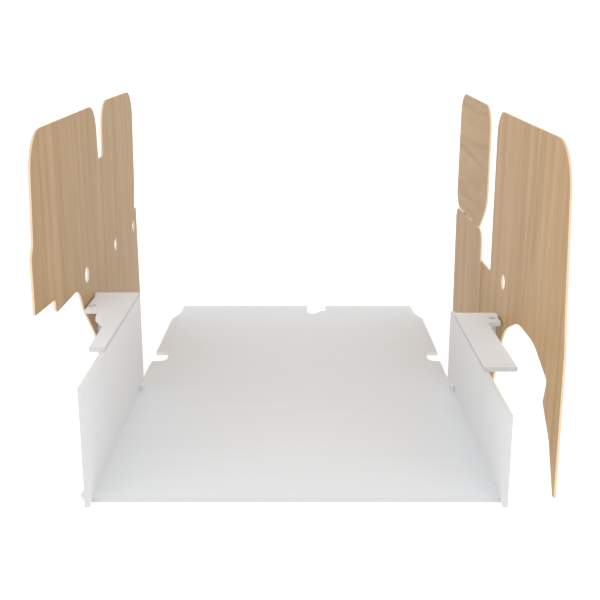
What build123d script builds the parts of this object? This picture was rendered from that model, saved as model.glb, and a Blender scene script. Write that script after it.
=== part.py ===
import os

from build123d import *

# A study carrel that stands on the floor: a deep white deck between two low cheeks, with a
# narrow shelf on each cheek and tall plywood screens outside them.
# Frame: origin at the centre of the deck's underside, +X to the right, +Y away from the
# reader, +Z up. Outlines are drawn from the deck's front edge and from the floor.

# ---------------------------------------------------------------- driving dimensions (mm)
deck_depth = 1770
board = 12            # white laminated board
ply = 6               # plywood of the screens
band = 1              # edge band glued on the board's cut edges
cheek_face = 506      # mid-plane to the inner face of each cheek
screen_face = 643     # mid-plane to the inner face of each front screen
cheek_lead = 27       # how far the cheeks stand in front of the deck
left_cheek_rear = 821
right_cheek_rear = 881
left_cheek_top = 311
right_cheek_top = 242
left_shelf_front = 245
right_shelf_front = 284
left_shelf_rear = 815
right_shelf_rear = 819
left_shelf_edge = 548
right_shelf_edge = 596
left_tab_front = 609
right_tab_front = 709
tab_length = 47       # the deck's front corners pass through the cheeks
left_tab_reach = 19
right_tab_reach = 1
left_rear_half = 511  # mid-plane to the deck's side edges behind the cheeks
right_rear_half = 507
left_corner = 484     # mid-plane to the corners of the deck's back edge
right_corner = 479
notch_front = 1045    # cable notch in each side edge of the deck
notch_rear = 1143
notch_floor = 463
front_hole_r = 25     # cable hole in each front screen, above the shelf
rear_hole_r = 22      # the two cable holes behind it on the left
grommet_hole_r = 11
grommet_flange_r = 12.5
lap_rear = 1218       # end of the front screen's tail, behind the rear screen
rear_screen_front = 1102
left_web_bottom = 125
right_web_bottom = 100

front = -deck_depth / 2
cheek_back = cheek_face + board
screen_back = screen_face + ply
through_board = 3 * board  # cutters centred on a face pass right through the sheet
through_ply = 4 * ply
shank_r = 2
head_r = 4
head_h = 2.5
dowel_r = 3
dowel_length = 16

os.makedirs("parts", exist_ok=True)


def at(x, y, z):
    """A point given by its distance behind the deck's front edge."""
    return (x, front + y, z)


def upright(x):
    """Sketch plane across the carrel: first axis to the rear, second axis up."""
    return Plane(origin=(x, front, 0), x_dir=(0, 1, 0), z_dir=(1, 0, 0))


def level(z):
    """Sketch plane at height z with its origin at the deck's front edge."""
    return Plane(origin=(0, front, z))


def rounded_outline(*corners):
    """Closed outline through (first, second, corner radius)."""
    points = [(a, b) for a, b, radius in corners]
    FilletPolyline(*points, radius=[radius for a, b, radius in corners], close=True)


def screw(length, mode=Mode.ADD):
    """Countersunk screw with its head flush at the local origin, driven along local -Z."""
    below = (Align.CENTER, Align.CENTER, Align.MAX)
    Cylinder(shank_r, length, align=below, mode=mode)
    Cone(shank_r, head_r, head_h, align=below, mode=mode)


def sideways(side, x, y, z):
    """Place for a fastener driven inwards from the outer side of the carrel."""
    return Location(at(side * x, y, z), (0, side * 90, 0))


def forwards(x, y, z):
    """Place for a fastener driven towards the reader."""
    return Location(at(x, y, z), (-90, 0, 0))


# ---------------------------------------------------------------- places of the fasteners
left_web_rear = left_shelf_rear - 1
right_web_rear = right_shelf_rear - 1

deck_screw_length = 45
deck_screw_rows = (130, 330, 530, 700)
left_deck_screw_places = [sideways(-1, cheek_back, y, board / 2) for y in deck_screw_rows]
right_deck_screw_places = [sideways(1, cheek_back, y, board / 2) for y in deck_screw_rows]

dowel_x = cheek_face + board / 2
left_dowel_rows = (290, 520, 750)
right_dowel_rows = (335, 555, 770)
left_dowel_places = [at(-dowel_x, y, left_cheek_top) for y in left_dowel_rows]
right_dowel_places = [at(dowel_x, y, right_cheek_top) for y in right_dowel_rows]

screen_screw_length = 30
left_screen_heights = (160, 220, 280)
right_screen_heights = (130, 170, 210)
left_screen_places = [
    sideways(-1, screen_back, left_web_rear - board / 2, z) for z in left_screen_heights
]
right_screen_places = [
    sideways(1, screen_back, right_web_rear - board / 2, z) for z in right_screen_heights
]

bracket_leg = 22
bracket_width = 20
bracket_gauge = 2
bracket_screw_length = 10
bracket_screw_inset = 15  # along each leg from the bracket's corner
left_bracket_heights = (145, 255)
right_bracket_heights = (120, 195)

batten_width = 60
batten_foot = 380
batten_head = 560
batten_fronts = (1230, 1440)
batten_chamfer = 2
batten_screw_length = 15
batten_screw_heights = (405, 435, 490, 530)
batten_screw_places = [
    sideways(1, screen_face + board, y + batten_width / 2, z)
    for y in batten_fronts
    for z in batten_screw_heights
]

lap_bolt_r = 3
lap_head_r = 6
lap_head_h = 2
lap_row = 1180
lap_heights = (40, 90, 140)
lap_places = [sideways(1, screen_back, lap_row, z) for z in lap_heights]


# ---------------------------------------------------------------- deck
# One board of full depth. It is narrower between the cheeks, its front corners pass
# through slots in the cheeks, and cable notches are cut in its sides and back.
with BuildPart() as deck_board:
    with BuildSketch(level(0)):
        with BuildLine():
            rounded_outline(
                (-cheek_back - left_tab_reach, band, 15),
                (cheek_back + right_tab_reach, band, right_tab_reach),
                (cheek_back + right_tab_reach, tab_length, right_tab_reach),
                (cheek_face, tab_length, 0),
                (cheek_face, 870, 4),
                (503, 900, 20),
                (503, notch_front, 3),
                (notch_floor, notch_front, 28),
                (notch_floor, notch_rear, 2),
                (right_rear_half, notch_rear, 3),
                (right_rear_half, 1580, 10),
                (right_corner + 4, 1652, 14),
                (right_corner, deck_depth, 4),
                (117, deck_depth, 3),
                (116, 1695, 11),
                (93, 1693, 10),
                (80, 1655, 20),
                (41, 1653, 20),
                (40, deck_depth, 2),
                (-left_corner, deck_depth, 3),
                (-left_corner - 2, 1660, 14),
                (-left_rear_half, 1580, 10),
                (-left_rear_half, notch_rear, 3),
                (-notch_floor, notch_rear, 2),
                (-notch_floor, notch_front, 30),
                (-513, notch_front, 4),
                (-516, 905, 20),
                (-cheek_back, left_cheek_rear, 0),
                (-cheek_face, left_cheek_rear, 0),
                (-cheek_face, tab_length, 0),
                (-cheek_back - left_tab_reach, tab_length, 12),
            )
        make_face()
    extrude(amount=board)
    with Locations(*left_deck_screw_places, *right_deck_screw_places):
        screw(deck_screw_length, Mode.SUBTRACT)
deck_board.part.label = "deck_board"
export_step(deck_board.part, "parts/deck_board.step")

with BuildPart() as deck_front_band:
    with BuildSketch(level(0)):
        Rectangle(2 * cheek_back, band, align=(Align.CENTER, Align.MIN))
    extrude(amount=board)
deck_front_band.part.label = "deck_front_band"
export_step(deck_front_band.part, "parts/deck_front_band.step")


# ---------------------------------------------------------------- cheeks
def cheek_outline(rear, top):
    """Outline of a cheek board with the open slot for the deck's front corner."""
    rounded_outline(
        (-cheek_lead + band, 0, 0),
        (0, 0, 0),
        (0, board, 0),
        (tab_length, board, 0),
        (tab_length, 0, 0),
        (rear, 0, 0),
        (rear, top - band, 0),
        (-cheek_lead + band, top - band, 0),
    )


left_bracket_places = [
    sideways(-1, cheek_back + bracket_gauge, left_web_rear + bracket_screw_inset, z + bracket_width / 2)
    for z in left_bracket_heights
]
right_bracket_places = [
    sideways(1, cheek_back + bracket_gauge, right_web_rear + bracket_screw_inset, z + bracket_width / 2)
    for z in right_bracket_heights
]

with BuildPart() as left_cheek:
    with BuildSketch(upright(-cheek_back)):
        with BuildLine():
            cheek_outline(left_cheek_rear, left_cheek_top)
        make_face()
    extrude(amount=board)
    with Locations(*left_deck_screw_places):
        screw(deck_screw_length, Mode.SUBTRACT)
    with Locations(*left_dowel_places):
        Cylinder(dowel_r, dowel_length, mode=Mode.SUBTRACT)
    with Locations(*left_bracket_places):
        screw(bracket_screw_length, Mode.SUBTRACT)
left_cheek.part.label = "left_cheek"
export_step(left_cheek.part, "parts/left_cheek.step")

with BuildPart() as right_cheek:
    with BuildSketch(upright(cheek_face)):
        with BuildLine():
            cheek_outline(right_cheek_rear, right_cheek_top)
        make_face()
    extrude(amount=board)
    with Locations(*right_deck_screw_places):
        screw(deck_screw_length, Mode.SUBTRACT)
    with Locations(*right_dowel_places):
        Cylinder(dowel_r, dowel_length, mode=Mode.SUBTRACT)
    with Locations(*right_bracket_places):
        screw(bracket_screw_length, Mode.SUBTRACT)
right_cheek.part.label = "right_cheek"
export_step(right_cheek.part, "parts/right_cheek.step")

with BuildPart() as cheek_front_bands:
    with Locations(at(-dowel_x, -cheek_lead, 0)):
        Box(board, band, left_cheek_top, align=(Align.CENTER, Align.MIN, Align.MIN))
    with Locations(at(dowel_x, -cheek_lead, 0)):
        Box(board, band, right_cheek_top, align=(Align.CENTER, Align.MIN, Align.MIN))
cheek_front_bands.part.label = "cheek_front_bands"
export_step(cheek_front_bands.part, "parts/cheek_front_bands.step")

with BuildPart() as cheek_top_bands:
    with Locations(at(-dowel_x, -cheek_lead + band, left_cheek_top)):
        Box(
            board,
            left_cheek_rear + cheek_lead - band,
            band,
            align=(Align.CENTER, Align.MIN, Align.MAX),
        )
    with Locations(at(dowel_x, -cheek_lead + band, right_cheek_top)):
        Box(
            board,
            right_cheek_rear + cheek_lead - band,
            band,
            align=(Align.CENTER, Align.MIN, Align.MAX),
        )
    with Locations(*left_dowel_places, *right_dowel_places):
        Cylinder(dowel_r, dowel_length, mode=Mode.SUBTRACT)
cheek_top_bands.part.label = "cheek_top_bands"
export_step(cheek_top_bands.part, "parts/cheek_top_bands.step")


# ---------------------------------------------------------------- shelves on the cheeks
# Each shelf lies on its cheek and reaches out to the screen with a wide tab at its rear.
nib = 30              # the part of the tab's outer edge that touches the screen
tab_gap = 5           # the rest of that edge stands off the screen
inner_corner_r = 20
grommet_wall = 1.5
grommet_flange_h = 1
left_grommet = at(-624, 656, left_cheek_top)
right_grommet = at(618, 757, right_cheek_top)

with BuildPart() as left_shelf:
    with BuildSketch(level(left_cheek_top)):
        with BuildLine():
            rounded_outline(
                (-cheek_face, left_shelf_front + band, 0),
                (-cheek_face, left_shelf_rear, 1),
                (-screen_face, left_shelf_rear, 1),
                (-screen_face, left_shelf_rear - nib, 2),
                (-screen_face + tab_gap, left_shelf_rear - 2 * nib, 2),
                (-screen_face + tab_gap, left_tab_front, 3),
                (-597, left_tab_front, 2),
                (-589, 528, 8),
                (-551, 460, 10),
                (-left_shelf_edge, left_shelf_front + band, 0),
            )
        make_face()
    extrude(amount=board)
    with Locations(left_grommet):
        Cylinder(grommet_hole_r, through_board, mode=Mode.SUBTRACT)
    with Locations(*left_dowel_places):
        Cylinder(dowel_r, dowel_length, mode=Mode.SUBTRACT)
left_shelf.part.label = "left_shelf"
export_step(left_shelf.part, "parts/left_shelf.step")

with BuildPart() as right_shelf:
    with BuildSketch(level(right_cheek_top)):
        with BuildLine():
            rounded_outline(
                (cheek_face, right_shelf_front + band, 0),
                (right_shelf_edge - band, right_shelf_front + band, 0),
                (right_shelf_edge - band, right_tab_front, inner_corner_r),
                (screen_face - tab_gap, right_tab_front, 3),
                (screen_face - tab_gap, right_shelf_rear - 2 * nib, 2),
                (screen_face, right_shelf_rear - nib, 2),
                (screen_face, right_shelf_rear, 1),
                (cheek_face, right_shelf_rear, 1),
            )
        make_face()
    extrude(amount=board)
    with Locations(right_grommet):
        Cylinder(grommet_hole_r, through_board, mode=Mode.SUBTRACT)
    with Locations(*right_dowel_places):
        Cylinder(dowel_r, dowel_length, mode=Mode.SUBTRACT)
right_shelf.part.label = "right_shelf"
export_step(right_shelf.part, "parts/right_shelf.step")

with BuildPart() as shelf_front_bands:
    with Locations(at(-left_shelf_edge, left_shelf_front, left_cheek_top)):
        Box(left_shelf_edge - cheek_face, band, board, align=Align.MIN)
    with Locations(at(cheek_face, right_shelf_front, right_cheek_top)):
        Box(right_shelf_edge - cheek_face, band, board, align=Align.MIN)
shelf_front_bands.part.label = "shelf_front_bands"
export_step(shelf_front_bands.part, "parts/shelf_front_bands.step")

side_band_length = right_tab_front - inner_corner_r - right_shelf_front - band
with BuildPart() as right_shelf_side_band:
    with Locations(at(right_shelf_edge - band, right_shelf_front + band, right_cheek_top)):
        Box(band, side_band_length, board, align=Align.MIN)
right_shelf_side_band.part.label = "right_shelf_side_band"
export_step(right_shelf_side_band.part, "parts/right_shelf_side_band.step")

with BuildPart() as shelf_grommets:
    with Locations(left_grommet, right_grommet):
        Cylinder(grommet_hole_r, board, align=(Align.CENTER, Align.CENTER, Align.MIN))
        with Locations((0, 0, board)):
            Cylinder(
                grommet_flange_r,
                grommet_flange_h,
                align=(Align.CENTER, Align.CENTER, Align.MIN),
            )
        Cylinder(grommet_hole_r - grommet_wall, through_board, mode=Mode.SUBTRACT)
shelf_grommets.part.label = "shelf_grommets"
export_step(shelf_grommets.part, "parts/shelf_grommets.step")

with BuildPart() as shelf_dowels:
    with Locations(*left_dowel_places, *right_dowel_places):
        Cylinder(dowel_r, dowel_length)
shelf_dowels.part.label = "shelf_dowels"
export_step(shelf_dowels.part, "parts/shelf_dowels.step")


# ---------------------------------------------------------------- webs under the shelves
# An upright board across the gap ties each cheek to its screen and carries the tab.
web_width = screen_face - cheek_back
web_bracket_x = cheek_back + bracket_screw_inset
left_web_screw_places = [
    forwards(-web_bracket_x, left_web_rear + bracket_gauge, z + bracket_width / 2)
    for z in left_bracket_heights
]
right_web_screw_places = [
    forwards(web_bracket_x, right_web_rear + bracket_gauge, z + bracket_width / 2)
    for z in right_bracket_heights
]

with BuildPart() as left_web:
    with Locations(at(-screen_face, left_web_rear - board, left_web_bottom)):
        Box(web_width, board, left_cheek_top - left_web_bottom, align=Align.MIN)
    with Locations(*left_screen_places):
        screw(screen_screw_length, Mode.SUBTRACT)
    with Locations(*left_web_screw_places):
        screw(bracket_screw_length, Mode.SUBTRACT)
left_web.part.label = "left_web"
export_step(left_web.part, "parts/left_web.step")

with BuildPart() as right_web:
    with Locations(at(cheek_back, right_web_rear - board, right_web_bottom)):
        Box(web_width, board, right_cheek_top - right_web_bottom, align=Align.MIN)
    with Locations(*right_screen_places):
        screw(screen_screw_length, Mode.SUBTRACT)
    with Locations(*right_web_screw_places):
        screw(bracket_screw_length, Mode.SUBTRACT)
right_web.part.label = "right_web"
export_step(right_web.part, "parts/right_web.step")

# Steel angle brackets behind the webs, two on each side.
cheek_screw_places = left_bracket_places + right_bracket_places
bracket_screw_places = cheek_screw_places + left_web_screw_places + right_web_screw_places

with BuildPart() as web_brackets:
    for height in left_bracket_heights:
        with Locations(at(-cheek_back, left_web_rear, height)):
            Box(bracket_gauge, bracket_leg, bracket_width, align=(Align.MAX, Align.MIN, Align.MIN))
            Box(bracket_leg, bracket_gauge, bracket_width, align=(Align.MAX, Align.MIN, Align.MIN))
    for height in right_bracket_heights:
        with Locations(at(cheek_back, right_web_rear, height)):
            Box(bracket_gauge, bracket_leg, bracket_width, align=Align.MIN)
            Box(bracket_leg, bracket_gauge, bracket_width, align=Align.MIN)
    with Locations(*bracket_screw_places):
        screw(bracket_screw_length, Mode.SUBTRACT)
web_brackets.part.label = "web_brackets"
export_step(web_brackets.part, "parts/web_brackets.step")

with BuildPart() as bracket_screws:
    with Locations(*bracket_screw_places):
        screw(bracket_screw_length)
bracket_screws.part.label = "bracket_screws"
export_step(bracket_screws.part, "parts/bracket_screws.step")

with BuildPart() as deck_screws:
    with Locations(*left_deck_screw_places, *right_deck_screw_places):
        screw(deck_screw_length)
deck_screws.part.label = "deck_screws"
export_step(deck_screws.part, "parts/deck_screws.step")

# Small plastic blocks in the inner corners, where the cheeks meet the deck.
block_width = 12
block_depth = 26
block_height = 20
block_corner_r = 2
block_place = 757
with BuildPart() as corner_blocks:
    for side in (-1, 1):
        with Locations(at(side * (cheek_face - block_width / 2), block_place, board)):
            Box(block_width, block_depth, block_height, align=(Align.CENTER, Align.CENTER, Align.MIN))
    fillet(corner_blocks.edges().filter_by(Axis.Z), radius=block_corner_r)
corner_blocks.part.label = "corner_blocks"
export_step(corner_blocks.part, "parts/corner_blocks.step")


# ---------------------------------------------------------------- left screen
# One sheet with a deep slot between its two lobes. Its front part stops short of the
# floor, and the rear part stands on it.
with BuildPart() as left_screen:
    with BuildSketch(upright(-screen_back)):
        with BuildLine():
            rounded_outline(
                (109, 449, 5),
                (113, 589, 21),
                (136, 621, 27),
                (169, 891, 120),
                (529, 898, 0),
                (936, 906, 82),
                (950, 734, 13),
                (1018, 734, 18),
                (1044, 910, 102),
                (1229, 912, 200),
                (1621, 916, 89),
                (1595, 565, 200),
                (1569, 470, 6),
                (1606, 460, 6),
                (1616, 120, 60),
                (1615, 0, 0),
                (876, 0, 0),
                (766, 198, 130),
                (630, 316, 70),
                (577, 396, 80),
                (311, 399, 17),
                (305, 437, 8),
            )
        make_face()
        with Locations((695, 411)):
            Circle(front_hole_r, mode=Mode.SUBTRACT)
        with Locations((1163, 407), (1533, 403)):
            Circle(rear_hole_r, mode=Mode.SUBTRACT)
    extrude(amount=ply)
    with Locations(*left_screen_places):
        screw(screen_screw_length, Mode.SUBTRACT)
left_screen.part.label = "left_screen"
export_step(left_screen.part, "parts/left_screen.step")


# ---------------------------------------------------------------- right screens
# The front screen stands on a long tapering leg and on its rear part, with an arch
# between them. Its low tail runs back outside the lower rear screen.
with BuildPart() as right_front_screen:
    with BuildSketch(upright(screen_face)):
        with BuildLine():
            rounded_outline(
                (22, 0, 0),
                (24, 164, 100),
                (26, 375, 100),
                (42, 463, 200),
                (91, 874, 137),
                (491, 881, 0),
                (946, 891, 79),
                (946, 603, 0),
                (945, 362, 13),
                (lap_rear, 356, 20),
                (lap_rear, 0, 0),
                (833, 0, 0),
                (695, 235, 187),
                (518, 311, 284),
                (320, 312, 240),
                (162, 260, 14),
                (188, 191, 5),
                (105, 122, 75),
                (38, 0, 0),
            )
        make_face()
        with Locations((744, 375)):
            Circle(front_hole_r, mode=Mode.SUBTRACT)
    extrude(amount=ply)
    with Locations(*right_screen_places):
        screw(screen_screw_length, Mode.SUBTRACT)
    with Locations(*lap_places):
        Cylinder(lap_bolt_r, through_ply, mode=Mode.SUBTRACT)
right_front_screen.part.label = "right_front_screen"
export_step(right_front_screen.part, "parts/right_front_screen.step")

with BuildPart() as right_rear_lower_screen:
    with BuildSketch(upright(screen_face - ply)):
        with BuildLine():
            rounded_outline(
                (rear_screen_front, 0, 0),
                (rear_screen_front, 466, 44),
                (1642, 461, 44),
                (1628, 0, 0),
            )
        make_face()
    extrude(amount=ply)
    with Locations(*lap_places):
        Cylinder(lap_bolt_r, through_ply, mode=Mode.SUBTRACT)
    with Locations(*batten_screw_places):
        screw(batten_screw_length, Mode.SUBTRACT)
right_rear_lower_screen.part.label = "right_rear_lower_screen"
export_step(right_rear_lower_screen.part, "parts/right_rear_lower_screen.step")

with BuildPart() as right_rear_upper_screen:
    with BuildSketch(upright(screen_face - ply)):
        with BuildLine():
            rounded_outline(
                (1040, 893, 90),
                (1624, 910, 89),
                (1639, 502, 50),
                (1582, 469, 42),
                (1153, 471, 70),
                (1035, 569, 100),
            )
        make_face()
    extrude(amount=ply)
    with Locations(*batten_screw_places):
        screw(batten_screw_length, Mode.SUBTRACT)
right_rear_upper_screen.part.label = "right_rear_upper_screen"
export_step(right_rear_upper_screen.part, "parts/right_rear_upper_screen.step")

# Two battens on the outside hold the upper rear screen on the lower one.
with BuildPart() as screen_battens:
    for y in batten_fronts:
        with Locations(at(screen_face, y, batten_foot)):
            Box(board, batten_width, batten_head - batten_foot, align=Align.MIN)
    chamfer(screen_battens.faces().filter_by(Axis.X).group_by(Axis.X)[-1].edges(), length=batten_chamfer)
    with Locations(*batten_screw_places):
        screw(batten_screw_length, Mode.SUBTRACT)
screen_battens.part.label = "screen_battens"
export_step(screen_battens.part, "parts/screen_battens.step")

with BuildPart() as batten_screws:
    with Locations(*batten_screw_places):
        screw(batten_screw_length)
batten_screws.part.label = "batten_screws"
export_step(batten_screws.part, "parts/batten_screws.step")

with BuildPart() as screen_screws:
    with Locations(*left_screen_places, *right_screen_places):
        screw(screen_screw_length)
screen_screws.part.label = "screen_screws"
export_step(screen_screws.part, "parts/screen_screws.step")

# Two-part connector bolts through the lap: the bolt from outside, its cap nut inside.
lap_thickness = 2 * ply
with BuildPart() as lap_bolts:
    with Locations(*lap_places):
        Cylinder(lap_head_r, lap_head_h, align=(Align.CENTER, Align.CENTER, Align.MIN))
        Cylinder(lap_bolt_r, lap_thickness / 2, align=(Align.CENTER, Align.CENTER, Align.MAX))
lap_bolts.part.label = "lap_bolts"
export_step(lap_bolts.part, "parts/lap_bolts.step")

with BuildPart() as lap_cap_nuts:
    with Locations(*lap_places):
        with Locations((0, 0, -lap_thickness / 2)):
            Cylinder(lap_bolt_r, lap_thickness / 2, align=(Align.CENTER, Align.CENTER, Align.MAX))
        with Locations((0, 0, -lap_thickness)):
            Cylinder(lap_head_r, lap_head_h, align=(Align.CENTER, Align.CENTER, Align.MAX))
lap_cap_nuts.part.label = "lap_cap_nuts"
export_step(lap_cap_nuts.part, "parts/lap_cap_nuts.step")
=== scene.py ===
import math

import bpy
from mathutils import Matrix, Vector


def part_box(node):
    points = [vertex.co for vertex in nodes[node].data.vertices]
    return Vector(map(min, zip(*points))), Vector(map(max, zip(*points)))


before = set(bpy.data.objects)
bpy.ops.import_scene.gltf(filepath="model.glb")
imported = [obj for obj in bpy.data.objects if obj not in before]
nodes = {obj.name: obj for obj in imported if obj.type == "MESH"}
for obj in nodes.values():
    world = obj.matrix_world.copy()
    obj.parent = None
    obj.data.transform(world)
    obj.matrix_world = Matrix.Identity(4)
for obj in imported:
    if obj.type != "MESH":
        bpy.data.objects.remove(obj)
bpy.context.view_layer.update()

# ------------------------------------------------------------------ deck
# The deck is one long particle board faced with white wood-grain laminate. The print
# runs from side to side, with a faint pore relief pressed into a satin surface.
deck_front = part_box("deck_front_band")[0].y
laminate_white = (0.752, 0.766, 0.778)
laminate_shade = (0.734, 0.748, 0.760)
laminate_gloss = 0.35      # specular level of the satin foil
satin_smoothest = 0.42
satin_roughest = 0.58
pore_share = 0.45          # how far the pores mark the print, against its broad figure
figure_stretch_share = 0.16
pore_depth = 0.0003
pore_relief = 0.12
print_darkest = 0.36
print_lightest = 0.64


def new_material(name):
    """New node material, with its node tree and its Principled shader."""
    material = bpy.data.materials.new(name)
    material.use_nodes = True
    tree = material.node_tree
    shader = tree.nodes["Principled BSDF"]
    return material, tree, shader


def add(tree, kind, **sockets):
    """New node of a kind, with its unlinked input sockets set by name."""
    node = tree.nodes.new(kind)
    for name, value in sockets.items():
        node.inputs[name.replace("_", " ")].default_value = value
    return node


def ramp(tree, source, low, high, colour_low, colour_high):
    """Colour ramp between two places of a grey value."""
    node = tree.nodes.new("ShaderNodeValToRGB")
    node.color_ramp.elements[0].position = low
    node.color_ramp.elements[0].color = (*colour_low, 1)
    node.color_ramp.elements[1].position = high
    node.color_ramp.elements[1].color = (*colour_high, 1)
    tree.links.new(source, node.inputs["Fac"])
    return node


def stretched(tree, stretch):
    """Object coordinates squeezed so that a texture is drawn out along the grain."""
    where = tree.nodes.new("ShaderNodeTexCoord")
    mapping = add(tree, "ShaderNodeMapping", Scale=stretch)
    tree.links.new(where.outputs["Object"], mapping.inputs["Vector"])
    return mapping.outputs["Vector"]


def laminate(name, along, white=laminate_white, shade=laminate_shade, edge_strip_painted_shade=None):
    """White wood-grain laminate. along is the stretch for fine pores, per metre and axis.
    The last argument is the tone of the strips on the upright edges of a level board: real edge
    bands, painted darker than the top as painted shade where the lamps light them most."""
    material, tree, shader = new_material(name)
    shader.inputs["Specular IOR Level"].default_value = laminate_gloss
    fine = add(tree, "ShaderNodeTexNoise", Scale=1.0, Detail=6.0, Roughness=0.6, Distortion=0.3)
    tree.links.new(stretched(tree, along), fine.inputs["Vector"])
    broad_stretch = tuple(value * figure_stretch_share for value in along)
    broad = add(tree, "ShaderNodeTexNoise", Scale=1.0, Detail=3.0, Roughness=0.5, Distortion=1.2)
    tree.links.new(stretched(tree, broad_stretch), broad.inputs["Vector"])
    print_tone = tree.nodes.new("ShaderNodeMix")
    print_tone.data_type = "FLOAT"
    print_tone.inputs["Factor"].default_value = pore_share
    tree.links.new(broad.outputs["Fac"], print_tone.inputs["A"])
    tree.links.new(fine.outputs["Fac"], print_tone.inputs["B"])
    tone = ramp(tree, print_tone.outputs["Result"], print_darkest, print_lightest, shade, white)
    colour = tone.outputs["Color"]
    # Painted shade: faces that stand upright, picked by which way they face, take the darker edge
    # tone.
    if edge_strip_painted_shade:
        facing = tree.nodes.new("ShaderNodeSeparateXYZ")
        where = tree.nodes.new("ShaderNodeTexCoord")
        tree.links.new(where.outputs["Normal"], facing.inputs["Vector"])
        level = tree.nodes.new("ShaderNodeMath")
        level.operation = "ABSOLUTE"
        tree.links.new(facing.outputs["Z"], level.inputs[0])
        pick = tree.nodes.new("ShaderNodeMix")
        pick.data_type = "RGBA"
        pick.inputs["A"].default_value = (*edge_strip_painted_shade, 1)
        tree.links.new(level.outputs["Value"], pick.inputs["Factor"])
        tree.links.new(colour, pick.inputs["B"])
        colour = pick.outputs["Result"]
    tree.links.new(colour, shader.inputs["Base Color"])
    rough = add(tree, "ShaderNodeMapRange", To_Min=satin_smoothest, To_Max=satin_roughest)
    tree.links.new(fine.outputs["Fac"], rough.inputs["Value"])
    tree.links.new(rough.outputs["Result"], shader.inputs["Roughness"])
    bump = add(tree, "ShaderNodeBump", Strength=pore_relief, Distance=pore_depth)
    tree.links.new(fine.outputs["Fac"], bump.inputs["Height"])
    tree.links.new(bump.outputs["Normal"], shader.inputs["Normal"])
    return material


def wear(node_names, material):
    """Give each named CAD node this one material."""
    for name in node_names:
        nodes[name].data.materials.clear()
        nodes[name].data.materials.append(material)


wear(["deck_board"], laminate("laminate_grain_across", (5.0, 160.0, 160.0)))

# ------------------------------------------------------------------ cheeks and webs
# The cheeks are the same board with the grain upright. Each is let over the deck's front
# corner and screwed to its edge. The webs behind them carry the shelves out to the screens.
wear(
    ["left_cheek", "right_cheek", "left_web", "right_web"],
    laminate("laminate_grain_up", (160.0, 160.0, 5.0)),
)

# ------------------------------------------------------------------ shelves
# Narrow plates of the same board that lie on the cheeks on hidden dowels. Their grain runs across,
# as on the deck, and plastic strips cover the edges that stay bare. Their laminate is painted
# lighter and bluer than the deck's, as painted light against the shade and the warm bounce from
# the screens beside them. Their upright faces are painted darker, as painted shade.
# Painted light: these shelf tones are lighter and bluer than the deck's laminate of the same
# board.
shelf_white_painted_light = (0.850, 0.872, 0.900)
shelf_print_darker_painted_light = (0.828, 0.850, 0.878)
# Painted shade: the darker grey of the shelves' upright faces, against the lamps' stronger light
# on them.
shelf_edge_painted_shade = (0.580, 0.585, 0.590)
wear(
    ["left_shelf", "right_shelf"],
    laminate("laminate_shelf_painted_light", (7.0, 170.0, 170.0), shelf_white_painted_light, shelf_print_darker_painted_light, shelf_edge_painted_shade),
)

# ------------------------------------------------------------------ edge bands
# One-millimetre plastic bands, hot-glued to the cut edges and scraped flush. They are smoother
# than the laminate. The bands are one white plastic painted in two tones. The front bands are
# darker, as painted shade against the lamps' stronger light on them. The cheeks' top bands are a
# lighter white than the others, as painted light because they face up.
band_grain = 900.0
band_roughness = 0.38
even = (1.0, 1.0, 1.0)


def plastic_band(name, white, shade):
    """Scraped plastic band with a fine, nearly even tone."""
    material, tree, shader = new_material(name)
    noise = add(tree, "ShaderNodeTexNoise", Scale=band_grain, Detail=3.0)
    tree.links.new(stretched(tree, even), noise.inputs["Vector"])
    tone = ramp(tree, noise.outputs["Fac"], 0.3, 0.7, shade, white)
    tree.links.new(tone.outputs["Color"], shader.inputs["Base Color"])
    shader.inputs["Roughness"].default_value = band_roughness
    return material


# Painted shade: the front bands' grey is darker than the same plastic on the cheeks' tops.
front_band = plastic_band("edge_band", (0.582, 0.586, 0.590), (0.548, 0.552, 0.556))
# Painted light: the cheeks' top bands are made lighter because they face up.
top_band = plastic_band("cheek_top_band", (0.800, 0.806, 0.812), (0.770, 0.776, 0.782))
wear(
    ["deck_front_band", "cheek_front_bands", "shelf_front_bands", "right_shelf_side_band"],
    front_band,
)
wear(["cheek_top_bands"], top_band)

# ------------------------------------------------------------------ plywood screens
# Thin plywood cut to rounded outlines, faced with light veneer and lacquered. The plies
# show as stripes along every cut edge.
veneer_light = (0.500, 0.337, 0.176)
veneer_mid = (0.430, 0.277, 0.134)
veneer_dark = (0.356, 0.215, 0.092)
ply_light = (0.80, 0.64, 0.46)
ply_dark = (0.62, 0.46, 0.30)
ply_count = 5
sheet_thickness = 0.006
lacquer_gloss = 0.15       # specular level of the lacquer
lacquer_smoothest = 0.40
lacquer_roughest = 0.55
veneer_figure_share = 0.10
fibre_share = 0.42
fibre_depth = 0.0003
fibre_relief = 0.18


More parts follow.
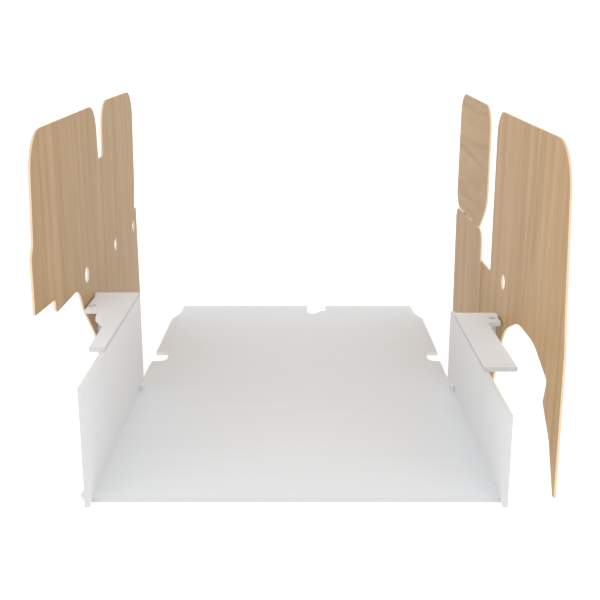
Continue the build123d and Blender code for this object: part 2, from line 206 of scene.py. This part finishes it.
def plywood(name, along, outer_face, tone):
    """Lacquered plywood. outer_face is the sheet's lowest X, tone brightens its veneer."""
    material, tree, shader = new_material(name)
    shader.inputs["Specular IOR Level"].default_value = lacquer_gloss
    figure_stretch = tuple(value * veneer_figure_share for value in along)
    figure = add(tree, "ShaderNodeTexNoise", Scale=1.0, Detail=4.0, Roughness=0.55, Distortion=1.6)
    tree.links.new(stretched(tree, figure_stretch), figure.inputs["Vector"])
    fibre = add(tree, "ShaderNodeTexNoise", Scale=1.0, Detail=8.0, Roughness=0.65, Distortion=0.2)
    tree.links.new(stretched(tree, along), fibre.inputs["Vector"])
    blend = tree.nodes.new("ShaderNodeMix")
    blend.data_type = "FLOAT"
    blend.inputs["Factor"].default_value = fibre_share
    tree.links.new(figure.outputs["Fac"], blend.inputs["A"])
    tree.links.new(fibre.outputs["Fac"], blend.inputs["B"])
    dark = [tone * value for value in veneer_dark]
    light = [tone * value for value in veneer_light]
    face = ramp(tree, blend.outputs["Result"], 0.34, 0.66, dark, light)
    middle = face.color_ramp.elements.new(0.5)
    middle.color = (*[tone * value for value in veneer_mid], 1)

    where = tree.nodes.new("ShaderNodeTexCoord")
    apart = tree.nodes.new("ShaderNodeSeparateXYZ")
    tree.links.new(where.outputs["Object"], apart.inputs["Vector"])
    depth = add(tree, "ShaderNodeMapRange", To_Min=0.0, To_Max=float(ply_count))
    depth.inputs["From Min"].default_value = outer_face
    depth.inputs["From Max"].default_value = outer_face + sheet_thickness
    tree.links.new(apart.outputs["X"], depth.inputs["Value"])
    within = tree.nodes.new("ShaderNodeMath")
    within.operation = "PINGPONG"
    within.inputs[1].default_value = 1.0
    tree.links.new(depth.outputs["Result"], within.inputs[0])
    plies = ramp(tree, within.outputs["Value"], 0.35, 0.65, ply_light, ply_dark)

    facing = tree.nodes.new("ShaderNodeSeparateXYZ")
    tree.links.new(where.outputs["Normal"], facing.inputs["Vector"])
    flatness = tree.nodes.new("ShaderNodeMath")
    flatness.operation = "ABSOLUTE"
    tree.links.new(facing.outputs["X"], flatness.inputs[0])
    pick = tree.nodes.new("ShaderNodeMix")
    pick.data_type = "RGBA"
    tree.links.new(flatness.outputs["Value"], pick.inputs["Factor"])
    tree.links.new(plies.outputs["Color"], pick.inputs["A"])
    tree.links.new(face.outputs["Color"], pick.inputs["B"])
    tree.links.new(pick.outputs["Result"], shader.inputs["Base Color"])

    rough = add(tree, "ShaderNodeMapRange", To_Min=lacquer_smoothest, To_Max=lacquer_roughest)
    tree.links.new(fibre.outputs["Fac"], rough.inputs["Value"])
    tree.links.new(rough.outputs["Result"], shader.inputs["Roughness"])
    bump = add(tree, "ShaderNodeBump", Strength=fibre_relief, Distance=fibre_depth)
    tree.links.new(fibre.outputs["Fac"], bump.inputs["Height"])
    tree.links.new(bump.outputs["Normal"], shader.inputs["Normal"])
    return material


grain_up = (120.0, 120.0, 6.0)
grain_back = (120.0, 6.0, 120.0)
for screen_name, screen_grain, screen_tone in (
    ("left_screen", grain_up, 0.98),
    ("right_front_screen", grain_up, 1.10),
    ("right_rear_lower_screen", grain_up, 1.00),
    ("right_rear_upper_screen", grain_back, 1.04),
    ("screen_battens", grain_up, 1.0),
):
    outer_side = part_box(screen_name)[0].x
    screen_finish = plywood("plywood_" + screen_name, screen_grain, outer_side, screen_tone)
    wear([screen_name], screen_finish)

# ------------------------------------------------------------------ fittings
# Zinc-plated screws, angle brackets and connector bolts, beech dowels, and small moulded
# parts: a pale grommet in each shelf tab and a light grey block in each inner corner.
fitting_shadow = 0.88      # darkest tone of a fitting, as a share of its colour
smoother = 0.06
rougher = 0.08


def fitting_finish(name, colour, roughness, metallic, grain_scale):
    """Small fitting's finish: a tone and roughness that vary with a fine noise."""
    material, tree, shader = new_material(name)
    noise = add(tree, "ShaderNodeTexNoise", Scale=grain_scale, Detail=4.0)
    tree.links.new(stretched(tree, even), noise.inputs["Vector"])
    darker = tuple(value * fitting_shadow for value in colour)
    tone = ramp(tree, noise.outputs["Fac"], 0.35, 0.65, darker, colour)
    tree.links.new(tone.outputs["Color"], shader.inputs["Base Color"])
    rough = add(tree, "ShaderNodeMapRange")
    rough.inputs["To Min"].default_value = roughness - smoother
    rough.inputs["To Max"].default_value = roughness + rougher
    tree.links.new(noise.outputs["Fac"], rough.inputs["Value"])
    tree.links.new(rough.outputs["Result"], shader.inputs["Roughness"])
    shader.inputs["Metallic"].default_value = metallic
    return material


wear(
    [
        "web_brackets",
        "bracket_screws",
        "deck_screws",
        "screen_screws",
        "batten_screws",
        "lap_bolts",
        "lap_cap_nuts",
    ],
    fitting_finish("zinc_plate", (0.62, 0.63, 0.65), 0.34, 1.0, 420.0),
)
wear(["shelf_dowels"], fitting_finish("raw_beech", (0.60, 0.43, 0.27), 0.70, 0.0, 260.0))
wear(
    ["shelf_grommets"],
    fitting_finish("grommet_plastic", (0.72, 0.72, 0.73), 0.50, 0.0, 700.0),
)
wear(["corner_blocks"], fitting_finish("block_plastic", (0.80, 0.80, 0.81), 0.55, 0.0, 700.0))

# ------------------------------------------------------------------ floor and studio
# A plain pale floor, an even white sky and two broad soft lamps. The camera stands in
# front of the carrel at a seated person's eye height and looks down at it.
floor_size = 60.0
floor_white = 0.65
floor_glow = 0.60
sky_strength = 1.06
lamp_energy = 16.0
lamp_width = 2.6
lamp_height = 2.0
lamp_aside = 2.6
lamp_forward = 3.2
lamp_up = 1.5
bay_middle = Vector((0.0, -0.1, 0.25))
lens_mm = 57.33
sensor_mm = 36.0
camera_pitch = 15.23       # degrees below level
camera_aside = 0.0092
camera_stand_off = 2.1527  # from the deck's front edge
camera_up = 1.1058
bpy.ops.mesh.primitive_plane_add(size=floor_size, location=(0.0, 0.0, 0.0))
floor = bpy.context.object
floor.name = "studio_floor"
floor_material, floor_tree, floor_shader = new_material("pale_floor")
floor_shader.inputs["Base Color"].default_value = (floor_white, floor_white, floor_white, 1)
floor_shader.inputs["Roughness"].default_value = 0.9
floor_shader.inputs["Emission Color"].default_value = (1, 1, 1, 1)
floor_shader.inputs["Emission Strength"].default_value = floor_glow
floor.data.materials.append(floor_material)

world = bpy.data.worlds.new("white_studio")
world.use_nodes = True
world.node_tree.nodes["Background"].inputs["Color"].default_value = (1, 1, 1, 1)
world.node_tree.nodes["Background"].inputs["Strength"].default_value = sky_strength
bpy.context.scene.world = world
bpy.context.scene.view_settings.view_transform = "Standard"

for side in (-1, 1):
    lamp_data = bpy.data.lights.new("soft_box", "AREA")
    lamp_data.shape = "RECTANGLE"
    lamp_data.size = lamp_width
    lamp_data.size_y = lamp_height
    lamp_data.energy = lamp_energy
    lamp = bpy.data.objects.new("soft_box", lamp_data)
    lamp.location = (side * lamp_aside, -lamp_forward, lamp_up)
    aim = bay_middle - lamp.location
    lamp.rotation_euler = aim.to_track_quat("-Z", "Y").to_euler()
    bpy.context.scene.collection.objects.link(lamp)

camera_data = bpy.data.cameras.new("camera")
camera_data.lens = lens_mm
camera_data.sensor_width = sensor_mm
camera = bpy.data.objects.new("camera", camera_data)
camera.location = (camera_aside, deck_front - camera_stand_off, camera_up)
camera.rotation_euler = (math.radians(90.0 - camera_pitch), 0.0, 0.0)
bpy.context.scene.collection.objects.link(camera)
bpy.context.scene.camera = camera
